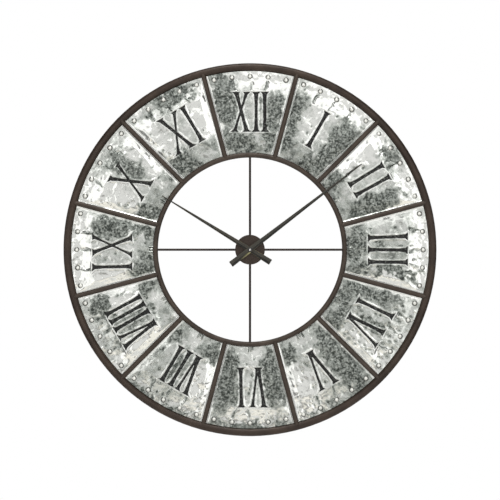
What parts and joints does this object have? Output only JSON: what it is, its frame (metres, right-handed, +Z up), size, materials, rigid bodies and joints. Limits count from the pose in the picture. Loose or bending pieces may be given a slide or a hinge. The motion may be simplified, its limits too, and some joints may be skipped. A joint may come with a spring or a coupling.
{
  "type": "wall clock",
  "caption": "Large round open-centre wall clock: pressed Roman-numeral sheet panels in a tube frame, two tapered hands and a battery quartz movement on a spoked hub.",
  "frame": {"origin": "on the hands' arbor line, half way through the clock's depth, which is the centre of its box", "axes": "+Z up towards twelve, +X to the reader's right, +Y back towards the wall; the dial faces -Y"},
  "size_m": [0.9143, 0.0324, 0.9144],
  "materials": {
    "bronze_frame": "dark oil-rubbed bronze paint, satin, rubbed a little lighter on the high sides",
    "zinc_sheet": "hammered galvanised sheet with a mottled spangle, satin",
    "rivet_steel": "domed zinc-plated rivets, bright",
    "strip_steel": "plain zinc-plated steel",
    "hand_black": "antiqued black with a rubbed bronze edge, satin",
    "nickel": "bright nickel plate",
    "brass_parts": "turned brass",
    "rubber_seal": "black rubber sheet",
    "black_plastic": "moulded, fine spark texture",
    "cell_jacket": "plain printed film jacket, no lettering",
    "spring_steel": "nickel-plated strip",
    "gear_plastic": "natural acetal moulding",
    "magnet": "bonded magnet, dull grey",
    "copper_wire": "enamelled copper winding",
    "board_green": "solder-masked board"
  },
  "bodies": {
    "frame": {"outer_ring": "bronze_frame", "inner_ring": "bronze_frame", "divider_01": "bronze_frame", "divider_02": "bronze_frame", "divider_03": "bronze_frame", "divider_04": "bronze_frame", "divider_05": "bronze_frame", "divider_06": "bronze_frame", "divider_07": "bronze_frame", "divider_08": "bronze_frame", "divider_09": "bronze_frame", "divider_10": "bronze_frame", "divider_11": "bronze_frame", "divider_12": "bronze_frame", "spoke_top": "bronze_frame", "spoke_right": "bronze_frame", "spoke_bottom": "bronze_frame", "spoke_left": "bronze_frame", "hub_disc": "bronze_frame", "dial_panel_01": "zinc_sheet", "dial_panel_02": "zinc_sheet", "dial_panel_03": "zinc_sheet", "dial_panel_04": "zinc_sheet", "dial_panel_05": "zinc_sheet", "dial_panel_06": "zinc_sheet", "dial_panel_07": "zinc_sheet", "dial_panel_08": "zinc_sheet", "dial_panel_09": "zinc_sheet", "dial_panel_10": "zinc_sheet", "dial_panel_11": "zinc_sheet", "dial_panel_12": "zinc_sheet", "rivets": "rivet_steel", "rivet_strips": "strip_steel", "hanger_plate": "strip_steel", "hex_nut": "brass_parts", "brass_washer": "brass_parts", "rubber_washer": "rubber_seal", "movement_front_cover": "black_plastic", "movement_rear_case": "black_plastic", "contact_positive": "spring_steel", "contact_negative": "spring_steel", "stator": "strip_steel", "coil_bobbin": "gear_plastic", "coil_winding": "copper_wire", "circuit_board": "board_green", "crystal": "nickel"},
    "hour": {"hour_wheel": "gear_plastic", "hour_hand": "hand_black"},
    "minute": {"minute_arbor": "brass_parts", "minute_hand": "hand_black", "hand_collar": "hand_black", "cap_nut": "nickel"},
    "reverse": {"reverse_wheel": "gear_plastic"},
    "setting": {"setting_knob": "black_plastic"},
    "centre": {"centre_wheel": "gear_plastic"},
    "third": {"third_wheel": "gear_plastic"},
    "seconds": {"seconds_wheel": "gear_plastic"},
    "fifth": {"fifth_wheel": "gear_plastic"},
    "rotor": {"rotor": "magnet"},
    "battery": {"battery": "cell_jacket"}
  },
  "joints": [
    {"name": "minute_turn", "type": "hinge", "parent": "frame", "child": "minute", "pos_m": [0, 0.0082, 0], "axis": [0, 1, 0], "continuous": true},
    {"name": "hour_turn", "type": "hinge", "parent": "frame", "child": "hour", "pos_m": [0, 0.0082, 0], "axis": [0, 1, 0], "continuous": true},
    {"name": "reverse_turn", "type": "hinge", "parent": "frame", "child": "reverse", "pos_m": [0, 0.0082, 0.0096], "axis": [0, 1, 0], "continuous": true},
    {"name": "setting_turn", "type": "hinge", "parent": "frame", "child": "setting", "pos_m": [0.0096, 0.0082, 0.0096], "axis": [0, 1, 0], "continuous": true},
    {"name": "seconds_turn", "type": "hinge", "parent": "frame", "child": "seconds", "pos_m": [-0.01311, 0.0082, 0.00892], "axis": [0, 1, 0], "continuous": true},
    {"name": "third_turn", "type": "hinge", "parent": "frame", "child": "third", "pos_m": [-0.00886, 0.0082, 0.00156], "axis": [0, 1, 0], "continuous": true},
    {"name": "centre_turn", "type": "hinge", "parent": "frame", "child": "centre", "pos_m": [0, 0.0082, 0], "axis": [0, 1, 0], "continuous": true},
    {"name": "fifth_turn", "type": "hinge", "parent": "frame", "child": "fifth", "pos_m": [-0.00781, 0.0082, 0.01423], "axis": [0, 1, 0], "continuous": true},
    {"name": "rotor_turn", "type": "hinge", "parent": "frame", "child": "rotor", "pos_m": [-0.00286, 0.0082, 0.01918], "axis": [0, 1, 0], "continuous": true},
    {"name": "battery_out", "type": "slide", "parent": "frame", "child": "battery", "axis": [0, 1, 0], "range_m": [0, 0.03]}
  ],
  "couplings": [
    {"joint": "hour_turn", "follows": "minute_turn", "ratio": 0.083333},
    {"joint": "reverse_turn", "follows": "minute_turn", "ratio": -0.33333},
    {"joint": "setting_turn", "follows": "minute_turn", "ratio": 1},
    {"joint": "third_turn", "follows": "seconds_turn", "ratio": -0.13333},
    {"joint": "centre_turn", "follows": "seconds_turn", "ratio": 0.016667},
    {"joint": "fifth_turn", "follows": "seconds_turn", "ratio": -5},
    {"joint": "rotor_turn", "follows": "seconds_turn", "ratio": 30}
  ]
}
